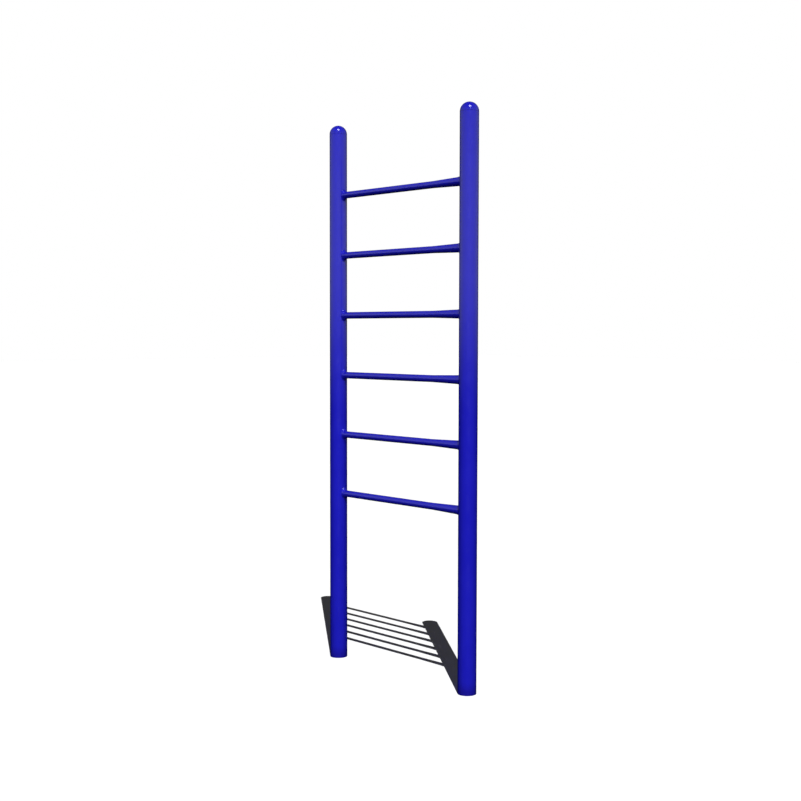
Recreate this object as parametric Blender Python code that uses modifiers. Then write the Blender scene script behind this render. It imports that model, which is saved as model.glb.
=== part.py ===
"""A fixed climbing ladder: two domed round posts joined by six round rungs.

The frame stands on z = 0, midway between the posts. X runs from the left post to the
right post, and Y is the direction that a climber faces.
"""

import math

import bmesh
import bpy

# Driving dimensions, in metres.
HEIGHT = 2.737  # ground to the top of a cap
POST_SPACING = 0.93  # between the posts' axes
POST_RADIUS = 0.04445
POST_WALL = 0.0032

RUNG_COUNT = 6
LOWEST_RUNG = 0.857  # ground to the axis of the lowest rung
RUNG_PITCH = 0.3048
RUNG_RADIUS = 0.01685
RUNG_WALL = 0.0026
RUNG_INSERTION = 0.0145  # how far a rung's end goes in past the post's outer surface
SWAGE_RADIUS = 0.0212  # the rung's right end, swaged out
SWAGE_FLAT = 0.017  # length of full swage radius outside the post
SWAGE_LENGTH = 0.19  # from the post's surface to where the plain tube starts

CAP_WALL = 0.003
CAP_SKIRT = 0.04  # depth of the skirt inside the post

COLLAR_REACH = 0.016  # from the post's surface to the collar's tip
COLLAR_LIP = 0.0009  # wall of the collar at its tip
LEFT_COLLAR_HALF_HEIGHT = 0.029
LEFT_COLLAR_HALF_WIDTH = 0.0188
RIGHT_COLLAR_HALF_HEIGHT = 0.032
RIGHT_COLLAR_HALF_WIDTH = 0.0236
COLLAR_ROOT_TILT = math.radians(27)  # between the flare and the post's surface at its root

GAP = 0.0003  # clearance between pieces that fit together

# Facets.
POST_STEPS = 32
RUNG_STEPS = 24
DOME_RINGS = 7
FLARE_RINGS = 5

LEFT, RIGHT = -1, 1
POST_TOP = HEIGHT - POST_RADIUS - GAP


def clear_scene():
    for obj in list(bpy.data.objects):
        bpy.data.objects.remove(obj)


def new_collection(name):
    collection = bpy.data.collections.new(name)
    bpy.context.scene.collection.children.link(collection)
    return collection


def new_material(name, colour, roughness, metallic):
    material = bpy.data.materials.new(name)
    material.use_nodes = True
    shader = material.node_tree.nodes["Principled BSDF"]
    shader.inputs["Base Color"].default_value = (*colour, 1.0)
    shader.inputs["Roughness"].default_value = roughness
    shader.inputs["Metallic"].default_value = metallic
    return material


def new_object(name, mesh, collection, material=None):
    obj = bpy.data.objects.new(name, mesh)
    collection.objects.link(obj)
    if material:
        mesh.materials.append(material)
    return obj


def profile_mesh(name, points, closed):
    """An outline of edges, to be turned by a Screw modifier."""
    count = len(points)
    edges = [(i, i + 1) for i in range(count - 1)]
    if closed:
        edges.append((count - 1, 0))
    mesh = bpy.data.meshes.new(name)
    mesh.from_pydata(points, edges, [])
    return mesh


def turned(name, points, axis, steps, collection, material, closed=True):
    """A body of revolution about a local axis. A closed outline makes a ring."""
    obj = new_object(name, profile_mesh(name, points, closed), collection, material)
    screw = obj.modifiers.new("turn", "SCREW")
    screw.axis = axis
    screw.angle = math.tau
    screw.steps = steps
    screw.render_steps = steps
    screw.use_merge_vertices = not closed
    screw.merge_threshold = 0.00001
    screw.use_smooth_shade = True
    return obj


def rung_height(number):
    """Rung 1 is the lowest."""
    return LOWEST_RUNG + (number - 1) * RUNG_PITCH


def make_post(name, side, collection, material):
    """A tube that is cut square at the ground and just under its cap."""
    inner = POST_RADIUS - POST_WALL
    outline = [
        (POST_RADIUS, 0, POST_TOP),
        (POST_RADIUS, 0, 0),
        (inner, 0, 0),
        (inner, 0, POST_TOP),
    ]
    post = turned(name, outline, "Z", POST_STEPS, collection, material)
    post.location.x = side * POST_SPACING / 2
    return post


def make_hole_cutter(name, side, number, radius, collection):
    """A plug from the middle of a post out past its inner wall."""
    length = 2 * POST_RADIUS
    shape = bmesh.new()
    bmesh.ops.create_cone(
        shape,
        cap_ends=True,
        segments=RUNG_STEPS,
        radius1=radius,
        radius2=radius,
        depth=length,
    )
    mesh = bpy.data.meshes.new(name)
    shape.to_mesh(mesh)
    shape.free()
    cutter = new_object(name, mesh, collection)
    cutter.rotation_euler.y = math.pi / 2
    cutter.location = (side * (POST_SPACING - length) / 2, 0, rung_height(number))
    cutter.hide_render = True
    cutter.display_type = "WIRE"
    return cutter


def drill_post(post, side, collection):
    """Cuts one hole for each rung in the wall that faces the other post."""
    radius = (RUNG_RADIUS if side == LEFT else SWAGE_RADIUS) + GAP
    for number in range(1, RUNG_COUNT + 1):
        cutter = make_hole_cutter(f"{post.name}_hole_{number}", side, number, radius, collection)
        cut = post.modifiers.new(f"hole_{number}", "BOOLEAN")
        cut.operation = "DIFFERENCE"
        cut.solver = "EXACT"
        cut.object = cutter


def arc(radius, rings, centre_height):
    """A quarter circle from the axis at the top down to the full radius."""
    points = []
    for ring in range(rings + 1):
        angle = math.pi / 2 * ring / rings
        points.append((radius * math.sin(angle), 0, centre_height + radius * math.cos(angle)))
    return points


def make_cap(name, side, collection, material):
    """A hemispherical shell with a skirt that drops inside the post."""
    dome_base = HEIGHT - POST_RADIUS
    skirt_outer = POST_RADIUS - POST_WALL - GAP
    skirt_inner = skirt_outer - CAP_WALL
    skirt_foot = POST_TOP - CAP_SKIRT
    outline = arc(POST_RADIUS, DOME_RINGS, dome_base)
    outline += [
        (skirt_outer, 0, dome_base),
        (skirt_outer, 0, skirt_foot),
        (skirt_inner, 0, skirt_foot),
    ]
    outline += reversed(arc(skirt_inner, DOME_RINGS, dome_base))
    cap = turned(name, outline, "Z", POST_STEPS, collection, material, closed=False)
    cap.location.x = side * POST_SPACING / 2
    return cap


def make_rung(name, number, collection, material):
    """A tube along X, plain at its left end and swaged out at its right end."""
    post_face = POST_SPACING / 2 - POST_RADIUS
    end = post_face + RUNG_INSERTION
    outer = [
        (-end, RUNG_RADIUS),
        (post_face - SWAGE_LENGTH, RUNG_RADIUS),
        (post_face - SWAGE_FLAT, SWAGE_RADIUS),
        (end, SWAGE_RADIUS),
    ]
    outline = [(x, 0, radius - RUNG_WALL) for x, radius in outer]
    outline += [(x, 0, radius) for x, radius in reversed(outer)]
    rung = turned(name, outline, "X", RUNG_STEPS, collection, material)
    rung.location.z = rung_height(number)
    return rung


def post_surface(offset):
    """Distance of a post's outer surface from its axis, along X, at an offset in Y."""
    return math.sqrt((POST_RADIUS + GAP) ** 2 - offset**2)


def collar_ring(shape, half_width, half_height, reach):
    """One oval ring of a collar. Its reach goes from 0, on the post, to 1, at the tip."""
    ring = []
    tip = POST_RADIUS + COLLAR_REACH
    for step in range(RUNG_STEPS):
        angle = math.tau * step / RUNG_STEPS
        y = half_width * math.cos(angle)
        z = half_height * math.sin(angle)
        x = (1 - reach) * post_surface(y) + reach * tip
        ring.append(shape.verts.new((x, y, z)))
    return ring


def bridge(shape, first, second):
    """A band of quads between two rings."""
    count = len(first)
    for i in range(count):
        j = (i + 1) % count
        shape.faces.new((first[i], first[j], second[j], second[i]))


def collar_mesh(name, half_width, half_height, bore):
    """A hollow flare that is saddled to a post at the origin and thins towards +X."""
    shape = bmesh.new()
    rings = []
    lip = bore + COLLAR_LIP
    for step in range(FLARE_RINGS + 1):
        tilt = COLLAR_ROOT_TILT + (math.pi / 2 - COLLAR_ROOT_TILT) * step / FLARE_RINGS
        spread = (1 - math.sin(tilt)) / (1 - math.sin(COLLAR_ROOT_TILT))
        reach = 1 - math.cos(tilt) / math.cos(COLLAR_ROOT_TILT)
        width = lip + spread * (half_width - lip)
        height = lip + spread * (half_height - lip)
        rings.append(collar_ring(shape, width, height, reach))
    rings.append(collar_ring(shape, bore, bore, 1))
    rings.append(collar_ring(shape, bore, bore, 0))
    for first, second in zip(rings, rings[1:] + rings[:1]):
        bridge(shape, first, second)
    bmesh.ops.recalc_face_normals(shape, faces=shape.faces)
    mesh = bpy.data.meshes.new(name)
    shape.to_mesh(mesh)
    shape.free()
    mesh.shade_smooth()
    mesh.set_sharp_from_angle(angle=math.radians(40))
    return mesh


def make_collars(side, mesh, collection, material):
    """One collar to each rung, turned so that it points at the other post."""
    side_name = "left" if side == LEFT else "right"
    mesh.materials.append(material)
    for number in range(1, RUNG_COUNT + 1):
        collar = new_object(f"{side_name}_collar_{number}", mesh, collection)
        collar.location = (side * POST_SPACING / 2, 0, rung_height(number))
        if side == RIGHT:
            collar.rotation_euler.z = math.pi


def make_ladder():
    clear_scene()
    parts = new_collection("climbing_ladder")
    cutters = new_collection("cutters")
    blue = (0.012, 0.012, 0.45)
    post_paint = new_material("post_paint", blue, 0.25, 0.0)
    cap_paint = new_material("cap_paint", (0.014, 0.012, 0.5), 0.2, 0.0)
    rung_paint = new_material("rung_paint", (0.014, 0.014, 0.42), 0.25, 0.0)
    collar_paint = new_material("collar_paint", (0.01, 0.01, 0.4), 0.3, 0.0)

    for side, side_name in ((LEFT, "left"), (RIGHT, "right")):
        post = make_post(f"{side_name}_post", side, parts, post_paint)
        drill_post(post, side, cutters)
        make_cap(f"{side_name}_cap", side, parts, cap_paint)

    for number in range(1, RUNG_COUNT + 1):
        make_rung(f"rung_{number}", number, parts, rung_paint)

    left_collar = collar_mesh(
        "left_collar", LEFT_COLLAR_HALF_WIDTH, LEFT_COLLAR_HALF_HEIGHT, RUNG_RADIUS + GAP
    )
    right_collar = collar_mesh(
        "right_collar", RIGHT_COLLAR_HALF_WIDTH, RIGHT_COLLAR_HALF_HEIGHT, SWAGE_RADIUS + GAP
    )
    make_collars(LEFT, left_collar, parts, collar_paint)
    make_collars(RIGHT, right_collar, parts, collar_paint)


make_ladder()
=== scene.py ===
"""The looks of a climbing ladder: two round posts with domed caps, joined by six round rungs.

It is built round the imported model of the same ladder. X runs from the left post to the
right post, +Z is up, the ground is at z = 0, and all lengths are in metres.
"""

import math

import bmesh
import bpy
from mathutils import Euler, Matrix, Vector


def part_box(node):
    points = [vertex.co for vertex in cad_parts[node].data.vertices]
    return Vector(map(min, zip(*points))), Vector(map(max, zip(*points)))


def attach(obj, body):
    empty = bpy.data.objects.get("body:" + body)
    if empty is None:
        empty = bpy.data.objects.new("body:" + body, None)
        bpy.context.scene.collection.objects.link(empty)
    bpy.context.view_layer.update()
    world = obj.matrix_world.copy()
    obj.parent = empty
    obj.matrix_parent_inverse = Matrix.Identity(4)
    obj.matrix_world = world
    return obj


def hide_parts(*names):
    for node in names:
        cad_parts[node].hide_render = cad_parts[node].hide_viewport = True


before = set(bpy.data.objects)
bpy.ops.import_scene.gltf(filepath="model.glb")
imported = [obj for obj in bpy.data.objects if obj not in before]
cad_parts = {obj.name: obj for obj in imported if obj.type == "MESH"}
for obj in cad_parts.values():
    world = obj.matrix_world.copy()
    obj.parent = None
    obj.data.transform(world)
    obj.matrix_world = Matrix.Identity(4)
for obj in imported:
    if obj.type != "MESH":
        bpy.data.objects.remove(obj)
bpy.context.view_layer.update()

# Directions. An azimuth goes round from the front towards +X. All of them are in degrees.
CAMERA_AZIMUTH = 47.186
CAMERA_DROOP = 3.115  # how far the camera looks down
CAMERA_ROLL = 0.0925
SUN_AZIMUTH = 52.73
SUN_ELEVATION = 61.67

# The camera's place, and its lens and sensor in millimetres.
CAMERA_PLACE = (4.517, -4.180, 1.688)
CAMERA_LENS = 56.66
SENSOR_WIDTH = 36

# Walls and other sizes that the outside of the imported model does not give.
POST_WALL = 0.0032
CAP_WALL = 0.003
CAP_SKIRT = 0.04  # how far the cap's skirt drops inside its post
RUNG_WALL = 0.0026
RUNG_RADIUS = 0.01685
SWAGE_FLAT = 0.017  # length of the full swage radius outside the post
SWAGE_LENGTH = 0.19  # from the post's surface to where the plain tube starts
COLLAR_LIP = 0.0009  # wall of a collar at its tip
COLLAR_ROOT_TILT = math.radians(40)  # between the flare and the post's surface
GAP = 0.0003  # clearance between pieces that fit together
CUT_EDGE = 0.0006  # softening of a cut edge under its paint
WELD_RADIUS = 0.0011
WELD_RIPPLES = 48
WELD_RIPPLE_HEIGHT = 0.0001

# Fineness of the meshes.
POST_STEPS = 192
RUNG_STEPS = 96
COLLAR_STEPS = 384
DOME_RINGS = 48
FLARE_RINGS = 20
WELD_RINGS = 8
EDGE_STEPS = 4
SHARP_ANGLE = math.radians(40)  # an edge that turns more than this is shaded sharp

# The paint. Colours are linear, and scales are in waves to the metre.
DEEP_BLUE = (0.01, 0.01, 0.44, 1)
PALE_BLUE = (0.0135, 0.0135, 0.485, 1)
# Painted shade: a darker blue laid on near the ground, standing in for the shade at the posts' feet.
FOOT_SHADE = (0.008, 0.004, 0.12, 1)
FOOT_SHADE_HEIGHT = 0.07
FOOT_SHADE_COVER = 0.55  # at the ground, in its thickest patches
THIN_PATCH = 0.7  # the share of that cover in its thinnest patches
CLOUD_SCALE = 7
SPECKLE_SCALE = 900
SMEAR_SCALE = 22
DIMPLE_SCALE = 260
DIMPLE_DEPTH = 0.0001
DIMPLE_STRENGTH = 0.17
PAINT_IOR = 1.5
ROUGHNESS = {"post_paint": 0.075, "cap_paint": 0.075, "rung_paint": 0.09, "collar_paint": 0.09}
SMEAR_DOWN = 0.03  # how far the smears take the roughness down and up
SMEAR_UP = 0.04

# How far from its mean a noise reaches its two ends, with all beyond them cut off.
SHORT_REACH = 0.15
LONG_REACH = 0.2

# The floor.
FLOOR_HALF_SIZE = 60
FLOOR_SQUARES = 8  # along each side
FLOOR_DULL = (0.88, 0.88, 0.88, 1)
FLOOR_PALE = (0.9, 0.9, 0.9, 1)
MOTTLE_SCALE = 3

# What the paint mirrors: a band that starts just under the horizon and fades out overhead.
# A rise is the height of a unit direction, from 0 at the horizon to 1 overhead.
BAND_START_RISE = -0.073
BAND_FULL_RISE = 0.055
BAND_FADE_RISE = 0.1
BAND_GLOW = 0.76
# It is dimmer behind the ladder, where a unit direction points away from the camera.
DIM_TOWARDS_CAMERA = -0.8
FULL_TOWARDS_CAMERA = -0.3
DIM_GLOW = 0.15
WHITE = (1, 1, 1, 1)

SIDES = {"left": -1, "right": 1}


def new_collection(name):
    collection = bpy.data.collections.new(name)
    bpy.context.scene.collection.children.link(collection)
    return collection


ladder = new_collection("ladder")
studio = new_collection("studio")
ground = new_collection("ground")


def middle(node):
    low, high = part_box(node)
    return (Vector(low) + Vector(high)) / 2


def half_size(node):
    low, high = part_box(node)
    return (Vector(high) - Vector(low)) / 2


RUNG_COUNT = sum(name.startswith("rung_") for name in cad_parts)
RUNG_NUMBERS = range(1, RUNG_COUNT + 1)  # 1 is the lowest
POST_RADIUS = half_size("left_post").y
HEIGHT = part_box("left_cap")[1][2]
DOME_BASE = HEIGHT - POST_RADIUS
SWAGE_RADIUS = half_size("rung_1").z


def rung_height(number):
    return middle(f"rung_{number}").z


def bore(side):
    """Radius of the hole for a rung, which is plain at its left end and swaged at its right."""
    return (RUNG_RADIUS if side < 0 else SWAGE_RADIUS) + GAP


# ---------------------------------------------------------------- shapes


def skin(name, rings, closed):
    """A mesh stretched over rings of points. A closed one joins its last ring to its first."""
    shape = bmesh.new()
    loops = [[shape.verts.new(point) for point in ring] for ring in rings]
    pairs = list(zip(loops, loops[1:]))
    if closed:
        pairs.append((loops[-1], loops[0]))
    for first, second in pairs:
        for i in range(max(len(first), len(second))):
            corners = [first[(i - 1) % len(first)], first[i % len(first)]]
            corners += [second[i % len(second)], second[(i - 1) % len(second)]]
            # Where one ring is a single point, this leaves three corners, for a triangle.
            shape.faces.new(list(dict.fromkeys(corners)))
    bmesh.ops.recalc_face_normals(shape, faces=shape.faces)
    mesh = bpy.data.meshes.new(name)
    shape.to_mesh(mesh)
    shape.free()
    return mesh


def circle(radius, steps):
    """Points round a circle, or just its centre where it has no radius."""
    angles = [math.tau * step / steps for step in range(steps)]
    if radius == 0:
        angles = [0]
    return [(radius * math.cos(angle), radius * math.sin(angle)) for angle in angles]


def upright_rings(outline, steps):
    """Rings about Z from an outline of (radius, height) points."""
    return [[(x, y, height) for x, y in circle(radius, steps)] for radius, height in outline]


def lying_rings(outline, steps):
    """Rings about X from an outline of (place along X, radius) points."""
    return [[(place, y, z) for y, z in circle(radius, steps)] for place, radius in outline]


def softened(corners, reach):
    """A closed outline whose corners are turned into short curves of EDGE_STEPS steps each."""
    outline = []
    for i, corner in enumerate(corners):
        here = Vector(corner)
        before = Vector(corners[i - 1])
        after = Vector(corners[(i + 1) % len(corners)])
        start = here + (before - here).normalized() * reach
        end = here + (after - here).normalized() * reach
        for step in range(EDGE_STEPS + 1):
            t = step / EDGE_STEPS
            outline.append(start.lerp(here, t).lerp(here.lerp(end, t), t))
    return outline


def hole_mesh(side, number):
    """A plug through the wall of a post, from the post's axis out past the wall."""
    end = -side * 2 * POST_RADIUS
    outline = [(0, 0), (0, bore(side)), (end, bore(side)), (end, 0)]
    plug = skin("plug", lying_rings(outline, RUNG_STEPS), closed=False)
    # Half a step of turn keeps the plug's corners off the post's corners.
    half_a_step = Matrix.Rotation(math.pi / RUNG_STEPS, 4, "X")
    plug.transform(Matrix.Translation((0, 0, rung_height(number))) @ half_a_step)
    return plug


def drilled(mesh, side):
    """The mesh of a post with one hole for each rung."""
    tube = bpy.data.objects.new("tube", mesh)
    bpy.context.scene.collection.objects.link(tube)
    plugs = []
    for number in RUNG_NUMBERS:
        plug = bpy.data.objects.new("plug", hole_mesh(side, number))
        bpy.context.scene.collection.objects.link(plug)
        cut = tube.modifiers.new("hole", "BOOLEAN")
        cut.operation = "DIFFERENCE"
        cut.object = plug
        plugs.append(plug)
    graph = bpy.context.evaluated_depsgraph_get()
    result = bpy.data.meshes.new_from_object(tube.evaluated_get(graph))
    for helper in plugs + [tube]:
        bpy.data.objects.remove(helper)
    return result


def wall_heights():
    """Heights of the extra rings round each hole, which keep the wall's faces short there."""
    heights = []
    for number in RUNG_NUMBERS:
        heights += [rung_height(number) - POST_RADIUS, rung_height(number) + POST_RADIUS]
    return heights


def post_mesh(side):
    """A tube with softened ends, cut for the rungs. Its axis is the local Z axis."""
    inner = POST_RADIUS - POST_WALL
    top = DOME_BASE - GAP
    corners = [(POST_RADIUS, 0), (POST_RADIUS, top), (inner, top), (inner, 0)]
    ends = softened(corners, CUT_EDGE)
    per_corner = EDGE_STEPS + 1
    # The outside goes up from the first corner, and the inside goes down from the third.
    outline = ends[:per_corner]
    outline += [Vector((POST_RADIUS, height)) for height in wall_heights()]
    outline += ends[per_corner : 3 * per_corner]
    outline += [Vector((inner, height)) for height in reversed(wall_heights())]
    outline += ends[3 * per_corner :]
    return drilled(skin("post", upright_rings(outline, POST_STEPS), closed=True), side)


def dome_arc(radius):
    """A quarter circle from the axis at the top down to the full radius."""
    points = []
    for ring in range(DOME_RINGS + 1):
        angle = math.pi / 2 * ring / DOME_RINGS
        points.append((radius * math.sin(angle), DOME_BASE + radius * math.cos(angle)))
    return points


def cap_mesh():
    """A domed shell with a skirt that drops inside its post."""
    skirt = POST_RADIUS - POST_WALL - GAP
    foot = DOME_BASE - CAP_SKIRT
    curve_middle = CUT_EDGE / 4  # how far the softened edge stays from its corner, each way
    outline = dome_arc(POST_RADIUS)[:-1]
    outline += [
        (POST_RADIUS, DOME_BASE + CUT_EDGE),
        (POST_RADIUS - curve_middle, DOME_BASE + curve_middle),
        (POST_RADIUS - CUT_EDGE, DOME_BASE),
        (skirt, DOME_BASE),
        (skirt, foot),
        (skirt - CAP_WALL, foot),
    ]
    outline += reversed(dome_arc(skirt - CAP_WALL))
    return skin("cap", upright_rings(outline, POST_STEPS), closed=False)


def rung_mesh(node):
    """A tube along X that swells into its swaged right end."""
    low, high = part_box(node)
    face = middle("right_post").x - POST_RADIUS
    outside = [
        (low[0], RUNG_RADIUS),
        (face - SWAGE_LENGTH, RUNG_RADIUS),
        (face - SWAGE_FLAT, SWAGE_RADIUS),
        (high[0], SWAGE_RADIUS),
    ]
    inside = [(place, radius - RUNG_WALL) for place, radius in reversed(outside)]
    outline = softened(outside + inside, CUT_EDGE)
    return skin("rung", lying_rings(outline, RUNG_STEPS), closed=True)


def surface_of_post(offset):
    """Distance of a post's outer surface from its axis, along X, at an offset in Y."""
    return math.sqrt((POST_RADIUS + GAP) ** 2 - offset**2)


def oval(width, height):
    """The angle, y and z of each point round an oval."""
    for step in range(COLLAR_STEPS):
        angle = math.tau * step / COLLAR_STEPS
        yield angle, width * math.cos(angle), height * math.sin(angle)


def flare_ring(width, height, reach, tip):
    """An oval ring of a collar. Its reach goes from 0, on the post, to 1, at the tip."""
    ring = []
    for _, y, z in oval(width, height):
        ring.append(Vector(((1 - reach) * surface_of_post(y) + reach * tip, y, z)))
    return ring


def weld_ring(width, height, lean):
    """A ring of the weld bead round a collar's root. A lean of 0 is flat on the post."""
    ring = []
    for angle, y, z in oval(width, height):
        normal = Vector((surface_of_post(y), y, 0)).normalized()
        along = Vector((-normal.y, normal.x, 0))
        outward = along * (math.cos(angle) / width) + Vector((0, 0, math.sin(angle) / height))
        outward.normalize()
        ripple = WELD_RIPPLE_HEIGHT * math.cos(WELD_RIPPLES * angle)
        leaning = outward * math.cos(lean) + normal * math.sin(lean)
        ring.append(Vector((surface_of_post(y), y, z)) + leaning * (WELD_RADIUS + ripple))
    return ring


def weld_rings(half_width, half_height):
    """Rings over the weld bead, from the post round to where the flare starts."""
    rings = []
    for step in range(WELD_RINGS + 1):
        lean = (math.pi - COLLAR_ROOT_TILT) * step / WELD_RINGS
        rings.append(weld_ring(half_width, half_height, lean))
    return rings


def flare_rings(half_width, half_height, lip, tip):
    """Rings that thin out from the collar's root to its tip."""
    rings = []
    for step in range(1, FLARE_RINGS + 1):
        tilt = COLLAR_ROOT_TILT + (math.pi / 2 - COLLAR_ROOT_TILT) * step / FLARE_RINGS
        spread = (1 - math.sin(tilt)) / (1 - math.sin(COLLAR_ROOT_TILT))
        reach = 1 - math.cos(tilt) / math.cos(COLLAR_ROOT_TILT)
        width = lip + spread * (half_width - lip)
        height = lip + spread * (half_height - lip)
        rings.append(flare_ring(width, height, reach, tip))
    return rings


def collar_mesh(node, side):
    """A hollow flare along X, saddled to the post at the origin and welded round its root."""
    size = half_size(node)
    low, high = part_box(node)
    post_x = middle("left_post" if side < 0 else "right_post").x
    tip = abs((high[0] if side < 0 else low[0]) - post_x)
    half_width = size.y - WELD_RADIUS
    half_height = size.z
    hole = bore(side)
    lip_middle = hole + COLLAR_LIP / 2
    rings = weld_rings(half_width, half_height)
    rings += flare_rings(half_width, half_height, hole + COLLAR_LIP, tip)
    # The lip is a little round: its middle stands out past its two edges.
    rings.append(flare_ring(lip_middle, lip_middle, 1, tip + COLLAR_LIP / 4))
    rings.append(flare_ring(hole, hole, 1, tip))
    rings.append(flare_ring(hole, hole, 0, tip))
    mesh = skin("collar", rings, closed=True)
    if side > 0:
        mesh.transform(Matrix.Rotation(math.pi, 4, "Z"))
    return mesh


# ---------------------------------------------------------------- materials


class Nodes:
    """Adds nodes to one tree and fills in their inputs."""

    def __init__(self, tree):
        self.tree = tree

    def fill(self, node, inputs):
        """Sets each input to a value, or links it where the value is another node's output."""
        for key, value in inputs.items():
            if isinstance(value, bpy.types.NodeSocket):
                self.tree.links.new(value, node.inputs[key])
            else:
                node.inputs[key].default_value = value

    def add(self, kind, settings=None, inputs=None):
        node = self.tree.nodes.new(kind)
        for key, value in (settings or {}).items():
            setattr(node, key, value)
        self.fill(node, inputs or {})
        return node

    def height(self, place):
        return self.add("ShaderNodeSeparateXYZ", inputs={"Vector": place}).outputs["Z"]

    def noise(self, place, scale, detail):
        inputs = {"Vector": place, "Scale": scale, "Detail": detail}
        return self.add("ShaderNodeTexNoise", inputs=inputs).outputs["Fac"]

    def remap(self, value, low, high, new_low, new_high, shape="SMOOTHSTEP"):
        inputs = {"Value": value, "From Min": low, "From Max": high}
        inputs |= {"To Min": new_low, "To Max": new_high}
        node = self.add("ShaderNodeMapRange", {"interpolation_type": shape}, inputs)
        return node.outputs["Result"]

    def stretched(self, noise, reach, new_low, new_high):
        """Remaps a noise from within a reach of its mean, which is a half."""
        return self.remap(noise, 0.5 - reach, 0.5 + reach, new_low, new_high)

    def math(self, operation, first, second):
        return self.add("ShaderNodeMath", {"operation": operation}, {0: first, 1: second}).outputs[0]

    def mix(self, factor, first, second):
        """Mixes two colours, which are inputs 6 and 7 of the node. Its output 2 is a colour."""
        node = self.add("ShaderNodeMix", {"data_type": "RGBA"}, {0: factor, 6: first, 7: second})
        return node.outputs[2]


def new_material(name):
    """A material, its nodes, its shader, and the place in space that its noises use."""
    material = bpy.data.materials.new(name)
    material.use_nodes = True
    nodes = Nodes(material.node_tree)
    place = nodes.add("ShaderNodeTexCoord").outputs["Object"]
    return material, nodes, material.node_tree.nodes["Principled BSDF"], place


def paint_colour(nodes, place):
    """Blue that drifts between two tones, with painted shade darkening the foot of a post in
    patches.
    """
    clouds = nodes.noise(place, CLOUD_SCALE, detail=4)
    speckle = nodes.noise(place, SPECKLE_SCALE, detail=2)
    half_of_tone = nodes.stretched(clouds, SHORT_REACH, 0, 0.5)
    other_half = nodes.stretched(speckle, SHORT_REACH, 0, 0.5)
    blue = nodes.mix(nodes.math("ADD", half_of_tone, other_half), DEEP_BLUE, PALE_BLUE)
    # Painted shade: the blue turns darker towards the ground, in patches.
    near_ground = nodes.remap(nodes.height(place), 0, FOOT_SHADE_HEIGHT, FOOT_SHADE_COVER, 0)
    patches = nodes.stretched(clouds, LONG_REACH, THIN_PATCH, 1)
    return nodes.mix(nodes.math("MULTIPLY", near_ground, patches), blue, FOOT_SHADE)


def paint(name, roughness):
    """Glossy blue powder coat: uneven in tone and gloss, with the dimples of orange peel."""
    material, nodes, shader, place = new_material(name)
    smears = nodes.noise(place, SMEAR_SCALE, detail=3)
    gloss = nodes.stretched(smears, LONG_REACH, roughness - SMEAR_DOWN, roughness + SMEAR_UP)
    dimples = nodes.noise(place, DIMPLE_SCALE, detail=1)
    relief = {"Strength": DIMPLE_STRENGTH, "Distance": DIMPLE_DEPTH, "Height": dimples}
    bump = nodes.add("ShaderNodeBump", inputs=relief)
    surface = {"Base Color": paint_colour(nodes, place), "Roughness": gloss, "IOR": PAINT_IOR}
    nodes.fill(shader, surface | {"Normal": bump.outputs["Normal"]})
    return material


def floor_material():
    """Matt pale floor with a faint mottle."""
    material, nodes, shader, place = new_material("pale_floor")
    mottle = nodes.stretched(nodes.noise(place, MOTTLE_SCALE, detail=2), LONG_REACH, 0, 1)
    colour = nodes.mix(mottle, FLOOR_DULL, FLOOR_PALE)
    nodes.fill(shader, {"Base Color": colour, "Roughness": 1, "Specular IOR Level": 0})
    return material


# ---------------------------------------------------------------- studio


def direction(azimuth, elevation):
    """The unit vector towards a place at an azimuth and an elevation."""
    a = math.radians(azimuth)
    e = math.radians(elevation)
    return Vector((math.sin(a) * math.cos(e), -math.cos(a) * math.cos(e), math.sin(e)))


def add_sun(name, azimuth, elevation, strength, width, receivers, effect):
    """A distant lamp that lights only the receivers, either their matt colour or their gloss."""
    lamp = bpy.data.lights.new(name, "SUN")
    lamp.energy = strength
    lamp.angle = math.radians(width)
    sun = bpy.data.objects.new(name, lamp)
    sun.rotation_euler = direction(azimuth, elevation).to_track_quat("Z", "Y").to_euler()
    studio.objects.link(sun)
    sun.light_linking.receiver_collection = receivers
    sun.visible_diffuse = effect == "matt"
    sun.visible_glossy = effect == "gloss"


def add_floor():
    """A wide floor just under the ladder. The paint neither mirrors it nor picks up its light."""
    mesh = bpy.data.meshes.new("floor")
    shape = bmesh.new()
    bmesh.ops.create_grid(
        shape, x_segments=FLOOR_SQUARES, y_segments=FLOOR_SQUARES, size=FLOOR_HALF_SIZE
    )
    shape.to_mesh(mesh)
    shape.free()
    mesh.materials.append(floor_material())
    floor = bpy.data.objects.new("floor", mesh)
    floor.location.z = -GAP
    ground.objects.link(floor)
    floor.visible_diffuse = False
    floor.visible_glossy = False


def add_world():
    """White to the camera. In reflections, a bright band that fades out overhead."""
    world = bpy.data.worlds.new("studio")
    world.use_nodes = True
    world.cycles_visibility.diffuse = False
    bpy.context.scene.world = world
    nodes = Nodes(world.node_tree)
    way = nodes.add("ShaderNodeTexCoord").outputs["Generated"]
    rise = nodes.height(way)
    start = nodes.remap(rise, BAND_START_RISE, BAND_FULL_RISE, 0, 1)
    fade = nodes.remap(rise, BAND_FADE_RISE, 1, 1, 0, "LINEAR")
    band = nodes.math("MULTIPLY", start, fade)
    ways = {0: way, 1: direction(CAMERA_AZIMUTH, 0)}
    towards = nodes.add("ShaderNodeVectorMath", {"operation": "DOT_PRODUCT"}, ways).outputs["Value"]
    near = nodes.remap(towards, DIM_TOWARDS_CAMERA, FULL_TOWARDS_CAMERA, DIM_GLOW, 1)
    glow = nodes.math("MULTIPLY", nodes.math("MULTIPLY", band, near), BAND_GLOW)
    seen = nodes.add("ShaderNodeLightPath").outputs["Is Camera Ray"]
    background = world.node_tree.nodes["Background"]
    nodes.fill(background, {"Color": nodes.mix(seen, glow, WHITE)})


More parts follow.
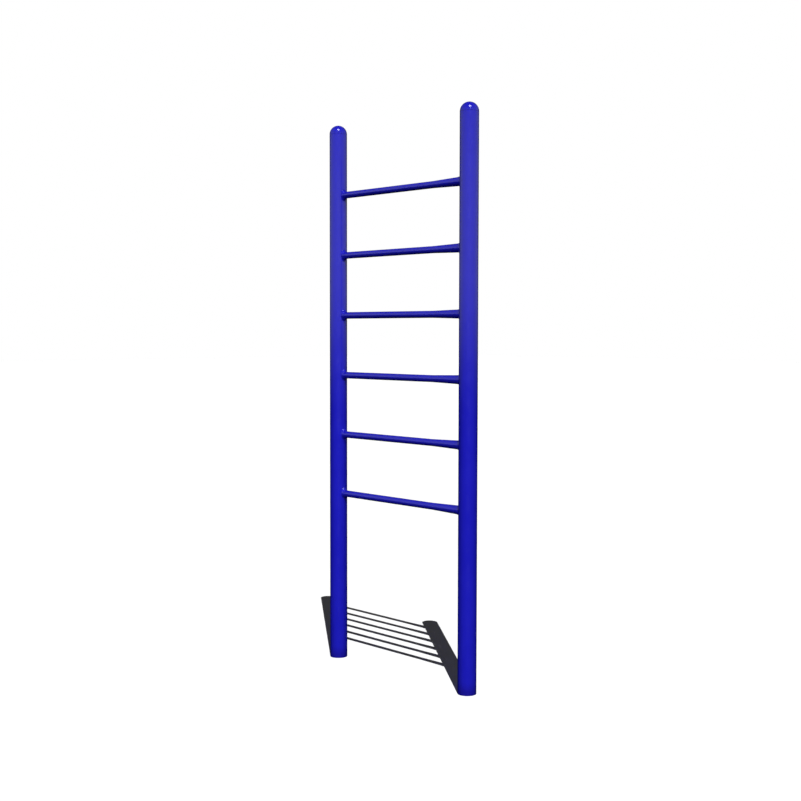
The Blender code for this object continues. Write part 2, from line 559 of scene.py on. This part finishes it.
def add_camera():
    lens = bpy.data.cameras.new("camera")
    lens.lens = CAMERA_LENS
    lens.sensor_width = SENSOR_WIDTH
    camera = bpy.data.objects.new("camera", lens)
    aim = Euler((math.pi / 2 - math.radians(CAMERA_DROOP), 0, math.radians(CAMERA_AZIMUTH)))
    roll = Matrix.Rotation(math.radians(CAMERA_ROLL), 3, "Z")
    camera.rotation_euler = (aim.to_matrix() @ roll).to_euler()
    camera.location = CAMERA_PLACE
    studio.objects.link(camera)
    bpy.context.scene.camera = camera


# ---------------------------------------------------------------- the scene

add_camera()
paints = {slot: paint(slot, roughness) for slot, roughness in ROUGHNESS.items()}


def add_piece(node, mesh, place, slot):
    """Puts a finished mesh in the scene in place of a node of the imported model."""
    mesh.transform(Matrix.Translation(place))
    mesh.shade_smooth()
    mesh.set_sharp_from_angle(angle=SHARP_ANGLE)
    mesh.materials.append(paints[slot])
    piece = bpy.data.objects.new(f"fine_{node}", mesh)
    ladder.objects.link(piece)
    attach(piece, "root")
    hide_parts(node)


def add_side(side_name, side):
    """A post, its cap and its collars."""
    x = middle(f"{side_name}_post").x
    add_piece(f"{side_name}_post", post_mesh(side), (x, 0, 0), "post_paint")
    add_piece(f"{side_name}_cap", cap_mesh(), (x, 0, 0), "cap_paint")
    for number in RUNG_NUMBERS:
        node = f"{side_name}_collar_{number}"
        add_piece(node, collar_mesh(node, side), (x, 0, rung_height(number)), "collar_paint")


def add_rungs():
    for number in RUNG_NUMBERS:
        node = f"rung_{number}"
        add_piece(node, rung_mesh(node), (0, 0, rung_height(number)), "rung_paint")


# Name, azimuth, elevation, strength, width in degrees, and then what the lamp lights and how.
# The sun's glint stands 3 degrees under the sun, and the low fill 3 degrees round from the camera.
LAMPS = [
    ("sun_on_floor", SUN_AZIMUTH, SUN_ELEVATION, 4.1, 0.1, ground, "matt"),
    ("floor_fill", CAMERA_AZIMUTH, 80, 0.12, 120, ground, "matt"),
    ("glint", SUN_AZIMUTH, SUN_ELEVATION - 3, 1.8, 24, ladder, "gloss"),
    ("key", CAMERA_AZIMUTH, 45, 2.85, 40, ladder, "matt"),
    ("low_fill", CAMERA_AZIMUTH + 3, 5, 1.8, 50, ladder, "matt"),
    ("back_fill", CAMERA_AZIMUTH + 180, 15, 3.0, 60, ladder, "matt"),
]

for side_name, side in SIDES.items():
    add_side(side_name, side)
add_rungs()
add_floor()
add_world()
for lamp in LAMPS:
    add_sun(*lamp)
bpy.context.scene.view_settings.view_transform = "Standard"
